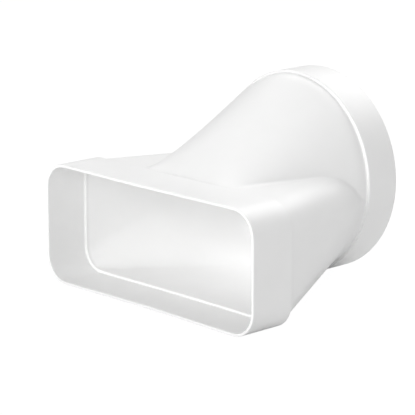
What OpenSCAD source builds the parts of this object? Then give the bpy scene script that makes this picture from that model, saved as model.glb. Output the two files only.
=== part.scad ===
// Round to flat duct adapter, one moulded piece.
// Millimetres. The part rests on z = 0, and the origin is under the middle of its box.
// The flat mouth opens towards -Y and the round mouth towards +Y.
// The underside of the round end is level with the flat end.

/* [Flat socket] */
// outer width of the flat duct that is pushed in
duct_width = 222; // [200:1:240]
// outer height of the flat duct that is pushed in
duct_height = 89; // [80:1:100]
// outer corner radius of the flat duct
duct_corner = 18.3; // [14:0.1:24]
// how far the flat duct goes in before it meets the stop ledge
flat_depth = 36.5; // [24:0.5:44]

/* [Round socket] */
// outer diameter of the round pipe that is pushed in
pipe_diameter = 154; // [144:1:160]
// how far the round pipe goes in before it meets the stop ledge
round_depth = 27.8; // [18:0.1:40]
// how far the stop ledge in front of the pipe reaches inwards
round_step = 2.5; // [1.5:0.1:3.5]

/* [Body] */
// wall thickness of the whole moulding
wall = 2.2; // [1.6:0.1:3]
// play all round between a duct and its socket
play = 0.3; // [0.1:0.05:0.6]
// how far the body steps in behind the flat socket
body_step = 2; // [1:0.1:2.8]
// length of the body between the flat socket and the neck
body_length = 111.5; // [95:0.5:130]
// length of the straight neck in front of the round collar
neck_length = 5; // [3:0.5:8]
// top corner radius of the shoulders where they meet the neck
shoulder_corner = 27.5; // [22:0.5:32]

/* [Hump] */
// half width of the line on which the hump rises from the flat top
hump_start = 46; // [36:1:56]
// size of the soft blend between the hump and the shoulders
hump_blend = 5; // [1:0.5:8]

/* [Hidden] */

// flat socket
mouth_width = duct_width + 2 * (play + wall);
mouth_height = duct_height + 2 * (play + wall);
mouth_corner = duct_corner + play + wall;
mouth_middle = mouth_height / 2;
flat_bore_width = duct_width + 2 * play;
flat_bore_height = duct_height + 2 * play;
flat_bore_corner = duct_corner + play;
flat_length = flat_depth + body_step;

// round collar and neck
collar_bore_radius = pipe_diameter / 2 + play;
collar_radius = collar_bore_radius + wall;
neck_bore_radius = collar_bore_radius - round_step;
neck_radius = neck_bore_radius + wall;
axis_height = collar_radius;

// stations along the duct, counted from the flat mouth
neck_start = flat_length + body_length;
collar_start = neck_start + neck_length;
stop_plane = collar_start + wall;
total_length = stop_plane + round_depth;
mouth_y = -total_length / 2;

// body section just behind the flat socket
body_half = mouth_width / 2 - body_step;
body_floor = body_step;
body_roof = mouth_height - body_step;
body_corner = mouth_corner - body_step;

// skin of the body: points in each zone of half a section, from the keel up to the crown
zones = [4, 14, 3, 8, 3, 3, 3, 12];
zone_gaps = [6, 12, 2, 4, 1.5];
crease_fan = 4;
keel_angle = -90;
crown_angle = 90;
lowest_crease = -30;
first_crease = 0.02;
halvings = 24;
outer_rings = 20;
inner_rings = 12;

overlap = 1;
sliver = 0.03;
tiny = 0.0001;
bore_steps = 180;
body_color = [0.93, 0.93, 0.92];

// value the share t of the way from a to b
function mix(a, b, t) = a + (b - a) * t;

// the larger of two lengths, blended over the width k
function soft_max(a, b, k) = max(a, b) + pow(max(k - abs(a - b), 0), 2) / (4 * max(k, tiny));

// sizes of the body section at t, which runs from 0 at the socket to 1 at the neck
function pole_at(t) = mix(mouth_middle, axis_height, t);
function half_at(t, inset) = mix(body_half, neck_radius, t) - inset;
function roof_at(t, inset) = body_roof - inset - pole_at(t);
function keel_at(t, inset) = pole_at(t) - inset - mix(body_floor, axis_height - neck_radius, t);
function low_corner_at(t, inset) = mix(body_corner, neck_radius, t) - inset;
function top_corner_at(t, inset) = mix(body_corner, shoulder_corner, t) - inset;

// from the pole along (dx, dz) to the far side of a circle about (cx, cz)
function to_circle(dx, dz, cx, cz, r) =
    let (b = dx * cx + dz * cz)
    b + sqrt(max(b * b - cx * cx - cz * cz + r * r, 0));

// from the pole along (dx, dz) to a wall at half, a flat cap at reach and the corner between them
function to_corner(dx, dz, half, reach, r) =
    let (along_wall = half * dz / max(dx, tiny))
    let (along_cap = reach * dx / max(dz, tiny))
    along_wall <= reach - r ? half / max(dx, tiny)
    : along_cap <= half - r ? reach / max(dz, tiny)
    : to_circle(dx, dz, half - r, reach - r, r);

// from the pole along (dx, dz) to the far side of an ellipse about (0, cz), zero if missed
function to_ellipse(dx, dz, cz, a, b) =
    let (p = pow(dx / a, 2) + pow(dz / b, 2))
    let (q = dz * cz / (b * b))
    let (root = q * q - p * (pow(cz / b, 2) - 1))
    root < 0 ? 0 : max((q + sqrt(root)) / p, 0);

// reach of the shouldered box and of the hump from the pole, at an angle above level
function box_reach(angle, t, inset) =
    min(to_corner(cos(angle), sin(angle), half_at(t, inset), roof_at(t, inset),
                  top_corner_at(t, inset)),
        to_corner(cos(angle), -sin(angle), half_at(t, inset), keel_at(t, inset),
                  low_corner_at(t, inset)));
function hump_reach(angle, t, inset) =
    to_ellipse(cos(angle), sin(angle),
               mix(body_roof - inset, axis_height, t) - pole_at(t),
               mix(hump_start, neck_radius - inset, t),
               max(mix(0, neck_radius - inset, t), tiny * wall));
function reach(angle, t, inset) =
    soft_max(box_reach(angle, t, inset), hump_reach(angle, t, inset),
             hump_blend * sqrt(abs(sin(180 * t))));

// angle at which the hump leaves the shoulders, found by halving
function crease(t, inset, low, high, n) =
    let (mid = (low + high) / 2)
    n == 0 ? mid
    : hump_reach(mid, t, inset) > box_reach(mid, t, inset) + tiny
        ? crease(t, inset, low, mid, n - 1)
        : crease(t, inset, mid, high, n - 1);

// angles that bound the zones, so that corners and crease each get their own points
function zone_angles(t, inset) =
    let (c = crease(max(t, first_crease), inset, lowest_crease, crown_angle, halvings))
    let (half = half_at(t, inset))
    let (roof = roof_at(t, inset))
    let (keel = keel_at(t, inset))
    let (top_r = top_corner_at(t, inset))
    let (low_r = low_corner_at(t, inset))
    let (fan_foot = c - crease_fan)
    let (top_end = min(atan2(roof, half - top_r), fan_foot - zone_gaps[4]))
    let (top_foot = min(atan2(roof - top_r, half), top_end - zone_gaps[3]))
    let (low_end = min(atan2(low_r - keel, half), top_foot - zone_gaps[2]))
    let (low_foot = min(atan2(-keel, half - low_r), low_end - zone_gaps[1]))
    [keel_angle, max(low_foot, keel_angle + zone_gaps[0]), low_end, top_foot, top_end,
     fan_foot, c, c + crease_fan, crown_angle];

// half a section from the keel to the crown, then the mirrored half back down
function half_angles(t, inset) =
    let (bounds = zone_angles(t, inset))
    concat([for (z = [0 : len(zones) - 1], k = [0 : zones[z] - 1])
                mix(bounds[z], bounds[z + 1], k / zones[z])],
           [crown_angle]);
function ring(t, inset, y) =
    let (angles = half_angles(t, inset))
    let (last = len(angles) - 1)
    let (flats = [for (a = angles) let (r = reach(a, t, inset)) [r * cos(a), r * sin(a)]])
    concat([for (k = [0 : last]) [flats[k][0], y, pole_at(t) + flats[k][1]]],
           [for (k = [last - 1 : -1 : 1]) [-flats[k][0], y, pole_at(t) + flats[k][1]]]);

// closed skin through rings of equal count, each end closed by a fan about its own middle point
module skin(rings, middles) {
    count = len(rings);
    around = len(rings[0]);
    front_middle = count * around;
    back_middle = front_middle + 1;
    points = concat([for (r = rings) each r], middles);
    sides = [for (k = [0 : count - 2], i = [0 : around - 1])
        let (j = (i + 1) % around)
        each [[k * around + i, k * around + j, (k + 1) * around + j],
              [k * around + i, (k + 1) * around + j, (k + 1) * around + i]]];
    front = [for (i = [0 : around - 1]) [front_middle, (i + 1) % around, i]];
    back = [for (i = [0 : around - 1])
        [back_middle, (count - 1) * around + i, (count - 1) * around + (i + 1) % around]];
    polyhedron(points = points, faces = concat(sides, front, back), convexity = 6);
}

// body from the flat section to the round neck
module body_form(inset, rings, start, finish) {
    steps = [for (k = [0 : rings]) k / rings];
    skin(concat(
        [ring(0, inset, start)],
        [for (t = steps) ring(t, inset + (t == 1 ? sliver : 0), flat_length + body_length * t)],
        [ring(1, inset + sliver, finish)]),
        [[0, start, mouth_middle], [0, finish, axis_height]]);
}

// bar with rounded corners, standing on z = floor_z and running along y
module flat_bar(width, height, corner, floor_z, from, to) {
    translate([0, to, floor_z + height / 2])
        rotate([90, 0, 0])
            linear_extrude(height = to - from)
                union() {
                    square([width - 2 * corner, height], center = true);
                    square([width, height - 2 * corner], center = true);
                    for (sx = [-1, 1], sz = [-1, 1])
                        translate([sx * (width / 2 - corner), sz * (height / 2 - corner)])
                            circle(r = corner, $fn = bore_steps);
                }
}

// round bar on the axis of the collar
module round_bar(radius, from, to) {
    translate([0, to, axis_height])
        rotate([90, 0, 0])
            cylinder(r = radius, h = to - from, $fn = bore_steps);
}

module adapter_body() {
    color(body_color)
        translate([0, mouth_y, 0]) difference() {
            union() {
                flat_bar(mouth_width, mouth_height, mouth_corner, 0, 0, flat_length);
                body_form(0, outer_rings, flat_length - overlap, neck_start + overlap);
                round_bar(neck_radius, neck_start, collar_start + overlap);
                round_bar(collar_radius, collar_start, total_length);
            }
            flat_bar(flat_bore_width, flat_bore_height, flat_bore_corner, wall,
                     -overlap, flat_depth);
            body_form(wall, inner_rings, flat_depth - overlap / 2, neck_start + overlap);
            round_bar(neck_bore_radius, neck_start, stop_plane + overlap);
            round_bar(collar_bore_radius, stop_plane, total_length + overlap);
        }
}

adapter_body();
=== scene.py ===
"""White plastic adapter from a flat duct to a round duct, on a pale studio floor."""

import math

import bpy
import numpy as np
from mathutils import Matrix, Vector


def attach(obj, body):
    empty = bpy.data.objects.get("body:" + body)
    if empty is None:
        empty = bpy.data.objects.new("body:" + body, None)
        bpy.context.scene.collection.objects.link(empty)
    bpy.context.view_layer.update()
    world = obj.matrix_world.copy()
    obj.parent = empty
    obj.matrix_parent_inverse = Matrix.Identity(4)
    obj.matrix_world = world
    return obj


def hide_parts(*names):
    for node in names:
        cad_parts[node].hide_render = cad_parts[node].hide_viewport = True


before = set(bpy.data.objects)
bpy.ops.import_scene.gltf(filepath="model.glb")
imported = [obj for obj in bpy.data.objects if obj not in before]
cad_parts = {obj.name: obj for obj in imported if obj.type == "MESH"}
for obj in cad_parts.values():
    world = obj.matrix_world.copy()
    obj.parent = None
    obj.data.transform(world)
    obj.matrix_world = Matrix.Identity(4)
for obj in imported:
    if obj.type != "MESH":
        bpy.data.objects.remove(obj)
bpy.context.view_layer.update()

MM = 0.001

# Sizes of the part, in millimetres, the same as the solid's
WALL = 2.2
MOUTH_WIDTH = 227.0
MOUTH_HEIGHT = 94.0
MOUTH_CORNER = 20.8
FLAT_DEPTH = 36.5
BODY_STEP = 2.0
BODY_LENGTH = 111.5
NECK_LENGTH = 5.0
ROUND_DEPTH = 27.8
COLLAR_BORE = 77.3
COLLAR_RADIUS = COLLAR_BORE + WALL
NECK_BORE = 74.8
NECK_RADIUS = NECK_BORE + WALL
AXIS_HEIGHT = COLLAR_RADIUS
SHOULDER_CORNER = 27.5
HUMP_START = 46.0
HUMP_BLEND = 5.0

# Stations along the duct, from the flat mouth
FLAT_LENGTH = FLAT_DEPTH + BODY_STEP
NECK_START = FLAT_LENGTH + BODY_LENGTH
COLLAR_START = NECK_START + NECK_LENGTH
STOP_PLANE = COLLAR_START + WALL
TOTAL_LENGTH = STOP_PLANE + ROUND_DEPTH

# Broken edges and small blends of the moulding
RIM_ROUND = 0.6
STEP_ROUND = 0.6
STEP_FILLET = 0.8
COLLAR_ROUND = 0.7
COLLAR_FILLET = 1.0
LEDGE_ROUND = 0.45
NECK_EASE = 0.05
WALL_BOW = 0.9

TINY = 1e-4
ZONES = (12, 42, 10, 24, 10, 12, 12, 28)
ZONE_GAPS = (6, 12, 2, 4, 1.5)
CREASE_FAN = 4.0
FIRST_CREASE = 0.02
HALVINGS = 30


def mix(a, b, t):
    return a + (b - a) * t


def soft_max(a, b, k):
    """The larger of two lengths, blended over the width k."""
    return np.maximum(a, b) + np.maximum(k - np.abs(a - b), 0) ** 2 / (4 * max(k, TINY))


def body_sizes(t, inset):
    """Half width, roof, keel, low corner and top corner of the body section at t, about its pole."""
    pole = pole_at(t)
    half = mix(MOUTH_WIDTH / 2 - BODY_STEP, NECK_RADIUS, t) - inset
    roof = MOUTH_HEIGHT - BODY_STEP - inset - pole
    keel = pole - inset - mix(BODY_STEP, AXIS_HEIGHT - NECK_RADIUS, t)
    low = mix(MOUTH_CORNER - BODY_STEP, NECK_RADIUS, t) - inset
    top = mix(MOUTH_CORNER - BODY_STEP, SHOULDER_CORNER, t) - inset
    return half, roof, keel, low, top


def pole_at(t):
    return mix(MOUTH_HEIGHT / 2, AXIS_HEIGHT, t)


def to_corner(dx, dz, half, reach, r):
    """From the pole along (dx, dz) to a wall, a flat cap or the rounded corner between them."""
    along_wall = half * dz / np.maximum(dx, TINY)
    along_cap = reach * dx / np.maximum(dz, TINY)
    b = dx * (half - r) + dz * (reach - r)
    arc = b + np.sqrt(np.maximum(b * b - (half - r) ** 2 - (reach - r) ** 2 + r * r, 0))
    return np.where(along_wall <= reach - r, half / np.maximum(dx, TINY),
                    np.where(along_cap <= half - r, reach / np.maximum(dz, TINY), arc))


def box_reach(angle, t, inset):
    dx, dz = np.abs(np.cos(angle)), np.sin(angle)
    half, roof, keel, low, top = body_sizes(t, inset)
    return np.minimum(to_corner(dx, dz, half, roof, top), to_corner(dx, -dz, half, keel, low))


def hump_reach(angle, t, inset):
    dx, dz = np.abs(np.cos(angle)), np.sin(angle)
    centre = mix(MOUTH_HEIGHT - BODY_STEP - inset, AXIS_HEIGHT, t) - pole_at(t)
    a = mix(HUMP_START, NECK_RADIUS - inset, t)
    b = max(mix(0, NECK_RADIUS - inset, t), TINY)
    p = (dx / a) ** 2 + (dz / b) ** 2
    q = dz * centre / (b * b)
    root = q * q - p * ((centre / b) ** 2 - 1)
    return np.where(root < 0, 0, np.maximum((q + np.sqrt(np.maximum(root, 0))) / p, 0))


def body_reach(angle, t, inset):
    blend = HUMP_BLEND * math.sqrt(abs(math.sin(math.pi * t)))
    return soft_max(box_reach(angle, t, inset), hump_reach(angle, t, inset), blend)


def crease(t, inset):
    """Angle at which the hump leaves the shoulders, in degrees, found by halving."""
    low, high = -30.0, 90.0
    for _ in range(HALVINGS):
        mid = (low + high) / 2
        a = math.radians(mid)
        if hump_reach(a, t, inset) > box_reach(a, t, inset) + TINY:
            high = mid
        else:
            low = mid
    return (low + high) / 2


def ring_angles(t, inset):
    """Angles of one ring in radians, from the keel up one side and down the other."""
    c = crease(max(t, FIRST_CREASE), inset)
    half, roof, keel, low_r, top_r = body_sizes(t, inset)
    deg = math.degrees
    fan_foot = c - CREASE_FAN
    top_end = min(deg(math.atan2(roof, half - top_r)), fan_foot - ZONE_GAPS[4])
    top_foot = min(deg(math.atan2(roof - top_r, half)), top_end - ZONE_GAPS[3])
    low_end = min(deg(math.atan2(low_r - keel, half)), top_foot - ZONE_GAPS[2])
    low_foot = min(deg(math.atan2(-keel, half - low_r)), low_end - ZONE_GAPS[1])
    bounds = (-90, max(low_foot, -90 + ZONE_GAPS[0]), low_end, top_foot, top_end,
              fan_foot, c, c + CREASE_FAN, 90)
    side = np.concatenate([np.linspace(a, b, n, endpoint=False)
                           for a, b, n in zip(bounds[:-1], bounds[1:], ZONES)])
    return np.radians(np.concatenate([side, [90], 180 - side[:0:-1]]))


def place(angle, r, y, pole):
    return np.stack([r * np.cos(angle), np.full_like(r, y), pole + r * np.sin(angle)], 1)


def flat_ring(y, inset):
    """Ring of the flat socket, its outer outline moved in by inset."""
    moved = inset - BODY_STEP
    angle = ring_angles(0, moved)
    return place(angle, box_reach(angle, 0, moved), y, pole_at(0))


def body_ring(y, inset):
    share = (y - FLAT_LENGTH) / BODY_LENGTH
    t = min(max(share - max(share - 1 + NECK_EASE, 0) ** 2 / (4 * NECK_EASE), 0), 1)
    if share >= 1 + NECK_EASE:
        t = 1.0
    angle = ring_angles(t, inset)
    return place(angle, body_reach(angle, t, inset), y, pole_at(t))


def round_ring(y, radius):
    angle = ring_angles(1, 0)
    return place(angle, np.full_like(angle, radius), y, AXIS_HEIGHT)


def graded(start, end, near, count, both=True):
    """Stations between two ends, close together at the first end, or at both."""
    s = np.linspace(0, 1, count + 1)
    eased = (1 - np.cos(np.pi * s)) / 2 if both else 1 - np.cos(np.pi * s / 2)
    u = mix(s, eased, near)
    return start + (end - start) * u


def arc(count):
    """Pairs (sine, one less cosine) of a quarter turn, both ends left out."""
    a = np.linspace(0, math.pi / 2, count + 2)[1:-1]
    return np.stack([np.sin(a), 1 - np.cos(a)], 1)


def adapter_rings():
    """All rings of the closed skin: out along the outside, back along the inside."""
    rings = []
    turn = arc(3)
    ease = 0.9
    # rim of the flat mouth, outer edge, from the face to the outside
    rings += [flat_ring(0, RIM_ROUND + 0.15), flat_ring(0, RIM_ROUND)]
    rings += [flat_ring(RIM_ROUND * c, RIM_ROUND * (1 - s)) for s, c in turn]
    # outside of the flat socket
    rings += [flat_ring(y, 0) for y in graded(RIM_ROUND, FLAT_LENGTH - STEP_ROUND, ease, 14)]
    rings += [flat_ring(FLAT_LENGTH - STEP_ROUND * (1 - s), STEP_ROUND * c) for s, c in turn]
    rings += [flat_ring(FLAT_LENGTH, STEP_ROUND), flat_ring(FLAT_LENGTH, BODY_STEP - STEP_FILLET)]
    rings += [body_ring(FLAT_LENGTH + STEP_FILLET * c, -STEP_FILLET * (1 - s)) for s, c in turn]
    # outside of the body and the neck
    rings += [body_ring(y, 0) for y in graded(FLAT_LENGTH + STEP_FILLET, NECK_START, 0.35, 84)]
    rings += [body_ring(y, 0) for y in np.linspace(NECK_START, COLLAR_START - COLLAR_FILLET, 8)[1:]]
    # collar
    rings += [round_ring(COLLAR_START - COLLAR_FILLET * (1 - s), NECK_RADIUS + COLLAR_FILLET * c)
              for s, c in turn]
    rings += [round_ring(COLLAR_START, NECK_RADIUS + COLLAR_FILLET),
              round_ring(COLLAR_START, COLLAR_RADIUS - COLLAR_ROUND)]
    rings += [round_ring(COLLAR_START + COLLAR_ROUND * c, COLLAR_RADIUS - COLLAR_ROUND * (1 - s))
              for s, c in turn]
    rings += [round_ring(y, COLLAR_RADIUS)
              for y in graded(COLLAR_START + COLLAR_ROUND, TOTAL_LENGTH - RIM_ROUND, ease, 10)]
    rings += [round_ring(TOTAL_LENGTH - RIM_ROUND * (1 - s), COLLAR_RADIUS - RIM_ROUND * c)
              for s, c in turn]
    rings += [round_ring(TOTAL_LENGTH, COLLAR_RADIUS - RIM_ROUND),
              round_ring(TOTAL_LENGTH, COLLAR_BORE + RIM_ROUND)]
    # inside of the collar down to its stop ledge
    rings += [round_ring(TOTAL_LENGTH - RIM_ROUND * c, COLLAR_BORE + RIM_ROUND * (1 - s))
              for s, c in turn]
    rings += [round_ring(y, COLLAR_BORE)
              for y in graded(TOTAL_LENGTH - RIM_ROUND, STOP_PLANE + LEDGE_ROUND, ease, 10)]
    rings += [round_ring(STOP_PLANE + LEDGE_ROUND * (1 - s), COLLAR_BORE - LEDGE_ROUND * c)
              for s, c in turn]
    rings += [round_ring(STOP_PLANE, COLLAR_BORE - LEDGE_ROUND),
              round_ring(STOP_PLANE, NECK_BORE + LEDGE_ROUND)]
    rings += [round_ring(STOP_PLANE - LEDGE_ROUND * c, NECK_BORE + LEDGE_ROUND * (1 - s))
              for s, c in turn]
    # inside of the neck and the body
    rings += [body_ring(y, WALL) for y in np.linspace(STOP_PLANE - LEDGE_ROUND, NECK_START, 6)]
    rings += [body_ring(y, WALL) for y in graded(NECK_START, FLAT_LENGTH, 0.35, 70)[1:]]
    rings += [body_ring(FLAT_DEPTH + LEDGE_ROUND, WALL)]
    # stop ledge and inside of the flat socket
    lip = BODY_STEP + WALL
    rings += [flat_ring(FLAT_DEPTH + LEDGE_ROUND * (1 - s), lip - LEDGE_ROUND * c)
              for s, c in turn]
    rings += [flat_ring(FLAT_DEPTH, lip - LEDGE_ROUND), flat_ring(FLAT_DEPTH, WALL + LEDGE_ROUND)]
    rings += [flat_ring(FLAT_DEPTH - LEDGE_ROUND * c, WALL + LEDGE_ROUND * (1 - s))
              for s, c in turn]
    rings += [flat_ring(y, WALL)
              for y in graded(FLAT_DEPTH - LEDGE_ROUND, RIM_ROUND, ease, 14)]
    rings += [flat_ring(RIM_ROUND * (1 - s), WALL - RIM_ROUND * c) for s, c in turn]
    rings += [flat_ring(0, WALL - RIM_ROUND), flat_ring(0, WALL - RIM_ROUND - 0.15)]
    return np.array(rings)


def bowed(points):
    """The long walls of the flat socket lean in a little half way along, most at the mouth."""
    x, y, z = points[..., 0], points[..., 1], points[..., 2]
    half = MOUTH_WIDTH / 2 - MOUTH_CORNER
    across = np.clip(1 - (x / half) ** 2, 0, 1) ** 2
    along = np.clip(1 - y / (FLAT_LENGTH + 30), 0, 1)
    level = np.clip((MOUTH_HEIGHT / 2 - z) / (MOUTH_HEIGHT / 2), -1, 1)
    out = points.copy()
    out[..., 2] = z + WALL_BOW * across * along * level * np.where(level > 0, 1, 0.5)
    return out


def closed_skin(name, rings):
    """Mesh of quads through the rings, closed both ways."""
    rows, around = rings.shape[:2]
    k, i = np.meshgrid(np.arange(rows), np.arange(around), indexing="ij")
    nk, ni = (k + 1) % rows, (i + 1) % around
    quads = np.stack([k * around + i, nk * around + i, nk * around + ni, k * around + ni], -1)
    mesh = bpy.data.meshes.new(name)
    mesh.from_pydata(rings.reshape(-1, 3).tolist(), [], quads.reshape(-1, 4).tolist())
    mesh.polygons.foreach_set("use_smooth", np.ones(len(mesh.polygons), bool))
    mesh.update()
    piece = bpy.data.objects.new(name, mesh)
    bpy.context.scene.collection.objects.link(piece)
    return piece


def white_plastic():
    """White satin plastic with a faint cloudiness, uneven gloss and a fine moulded grain."""
    material = bpy.data.materials.new("white_moulded_plastic")
    material.use_nodes = True
    nodes, links = material.node_tree.nodes, material.node_tree.links
    shader = nodes["Principled BSDF"]
    shader.inputs["IOR"].default_value = 1.5
    shader.inputs["Specular IOR Level"].default_value = 0.5
    place_node = nodes.new("ShaderNodeTexCoord")

    def noise(scale, detail, rough):
        n = nodes.new("ShaderNodeTexNoise")
        n.inputs["Scale"].default_value = scale
        n.inputs["Detail"].default_value = detail
        n.inputs["Roughness"].default_value = rough
        links.new(place_node.outputs["Object"], n.inputs["Vector"])
        return n

    cloud = noise(18.0, 4.0, 0.55)
    tint = nodes.new("ShaderNodeValToRGB")
    tint.color_ramp.elements[0].position = 0.3
    tint.color_ramp.elements[0].color = (0.885, 0.885, 0.882, 1)
    tint.color_ramp.elements[1].position = 0.72
    tint.color_ramp.elements[1].color = (0.915, 0.915, 0.913, 1)
    links.new(cloud.outputs["Fac"], tint.inputs["Fac"])
    links.new(tint.outputs["Color"], shader.inputs["Base Color"])

    gloss = noise(42.0, 3.0, 0.6)
    spread = nodes.new("ShaderNodeMapRange")
    spread.inputs["From Min"].default_value = 0.3
    spread.inputs["From Max"].default_value = 0.7
    spread.inputs["To Min"].default_value = 0.36
    spread.inputs["To Max"].default_value = 0.46
    links.new(gloss.outputs["Fac"], spread.inputs["Value"])
    links.new(spread.outputs["Result"], shader.inputs["Roughness"])

    grain = noise(2600.0, 2.0, 0.5)
    grain_bump = nodes.new("ShaderNodeBump")
    grain_bump.inputs["Strength"].default_value = 0.12
    grain_bump.inputs["Distance"].default_value = 0.00003
    links.new(grain.outputs["Fac"], grain_bump.inputs["Height"])
    wave = noise(26.0, 2.0, 0.45)
    wave_bump = nodes.new("ShaderNodeBump")
    wave_bump.inputs["Strength"].default_value = 0.35
    wave_bump.inputs["Distance"].default_value = 0.00025
    links.new(wave.outputs["Fac"], wave_bump.inputs["Height"])
    links.new(grain_bump.outputs["Normal"], wave_bump.inputs["Normal"])
    links.new(wave_bump.outputs["Normal"], shader.inputs["Normal"])
    return material


def make_adapter():
    points = bowed(adapter_rings())
    points[..., 1] -= TOTAL_LENGTH / 2
    piece = closed_skin("adapter_shell", points * MM)
    piece.data.materials.append(white_plastic())
    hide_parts("adapter_body")
    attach(piece, "root")
    return piece


# Camera of the photograph
PHOTO_SIZE = 415
SENSOR = 36.0
FOCAL_PIXELS = 2194.52
CAMERA_PLACE = (1.16262, -1.12169, 0.45932)
CAMERA_TURN = 46.787
CAMERA_TILT = 13.832
CAMERA_ROLL = -0.1096


def make_camera():
    turn, tilt, roll = (math.radians(v) for v in (CAMERA_TURN, CAMERA_TILT, CAMERA_ROLL))
    back = Vector((math.sin(turn) * math.cos(tilt), -math.cos(turn) * math.cos(tilt), math.sin(tilt)))
    level = Vector((math.cos(turn), math.sin(turn), 0))
    up = back.cross(level)
    right = math.cos(roll) * level + math.sin(roll) * up
    top = -math.sin(roll) * level + math.cos(roll) * up
    data = bpy.data.cameras.new("camera")
    data.sensor_fit = "HORIZONTAL"
    data.sensor_width = SENSOR
    data.lens = SENSOR * FOCAL_PIXELS / PHOTO_SIZE
    data.clip_start = 0.05
    data.clip_end = 60
    camera = bpy.data.objects.new("camera", data)
    axes = Matrix((right, top, back)).transposed().to_4x4()
    camera.matrix_world = Matrix.Translation(CAMERA_PLACE) @ axes
    bpy.context.scene.collection.objects.link(camera)
    bpy.context.scene.camera = camera


# Studio light: name, azimuth, elevation and power of each softbox
SOFTBOXES = (("front_softbox", 0, 12, 30.7), ("side_softbox", 45, 12, 12.2),
             ("rear_softbox", 180, 45, 24.0), ("left_softbox", 225, 45, 12.0))
SOFTBOX_SIZE = 1.5
SOFTBOX_DISTANCE = 2.2
LIT_POINT = (0, 0, 0.08)
ROOM_LIGHT = 0.364
PAPER_WHITE = 1.05


def make_floor():
    """Pale floor that the camera sees almost without shadow."""
    mesh = bpy.data.meshes.new("floor")
    r = 12.0
    mesh.from_pydata([(-r, -r, 0), (r, -r, 0), (r, r, 0), (-r, r, 0)], [], [(0, 1, 2, 3)])
    floor = bpy.data.objects.new("floor", mesh)
    bpy.context.scene.collection.objects.link(floor)
    material = bpy.data.materials.new("pale_floor")
    material.use_nodes = True
    nodes, links = material.node_tree.nodes, material.node_tree.links
    nodes.clear()
    out = nodes.new("ShaderNodeOutputMaterial")
    matt = nodes.new("ShaderNodeBsdfDiffuse")
    matt.inputs["Color"].default_value = (0.8, 0.8, 0.8, 1)
    glow = nodes.new("ShaderNodeEmission")
    glow.inputs["Color"].default_value = (1, 1, 1, 1)
    glow.inputs["Strength"].default_value = PAPER_WHITE
    seen = nodes.new("ShaderNodeLightPath")
    share = nodes.new("ShaderNodeMath")
    share.operation = "MULTIPLY"
    share.inputs[1].default_value = 0.94
    both = nodes.new("ShaderNodeMixShader")
    links.new(seen.outputs["Is Camera Ray"], share.inputs[0])
    links.new(share.outputs[0], both.inputs["Fac"])
    links.new(matt.outputs[0], both.inputs[1])
    links.new(glow.outputs[0], both.inputs[2])
    links.new(both.outputs[0], out.inputs["Surface"])
    mesh.materials.append(material)


def make_light(name, azimuth, elevation, power):
    """Square softbox that faces the part, placed by its azimuth and elevation in degrees."""
    a, e = math.radians(azimuth), math.radians(elevation)
    away = Vector((math.sin(a) * math.cos(e), -math.cos(a) * math.cos(e), math.sin(e)))
    data = bpy.data.lights.new(name, "AREA")
    data.shape = "SQUARE"
    data.size = SOFTBOX_SIZE
    data.energy = power
    lamp = bpy.data.objects.new(name, data)
    lamp.location = Vector(LIT_POINT) + away * SOFTBOX_DISTANCE
    lamp.rotation_euler = (-away).to_track_quat("-Z", "Y").to_euler()
    lamp.visible_camera = False
    bpy.context.scene.collection.objects.link(lamp)


def make_world():
    world = bpy.data.worlds.new("studio")
    world.use_nodes = True
    bpy.context.scene.world = world
    nodes, links = world.node_tree.nodes, world.node_tree.links
    nodes.clear()
    out = nodes.new("ShaderNodeOutputWorld")
    room = nodes.new("ShaderNodeBackground")
    room.inputs["Color"].default_value = (1, 1, 1, 1)
    room.inputs["Strength"].default_value = ROOM_LIGHT
    paper = nodes.new("ShaderNodeBackground")
    paper.inputs["Color"].default_value = (1, 1, 1, 1)
    paper.inputs["Strength"].default_value = PAPER_WHITE
    seen = nodes.new("ShaderNodeLightPath")
    both = nodes.new("ShaderNodeMixShader")
    links.new(seen.outputs["Is Camera Ray"], both.inputs["Fac"])
    links.new(room.outputs[0], both.inputs[1])
    links.new(paper.outputs[0], both.inputs[2])
    links.new(both.outputs[0], out.inputs["Surface"])


make_camera()
make_floor()
make_world()
for softbox in SOFTBOXES:
    make_light(*softbox)
make_adapter()
bpy.context.scene.view_settings.view_transform = "Standard"
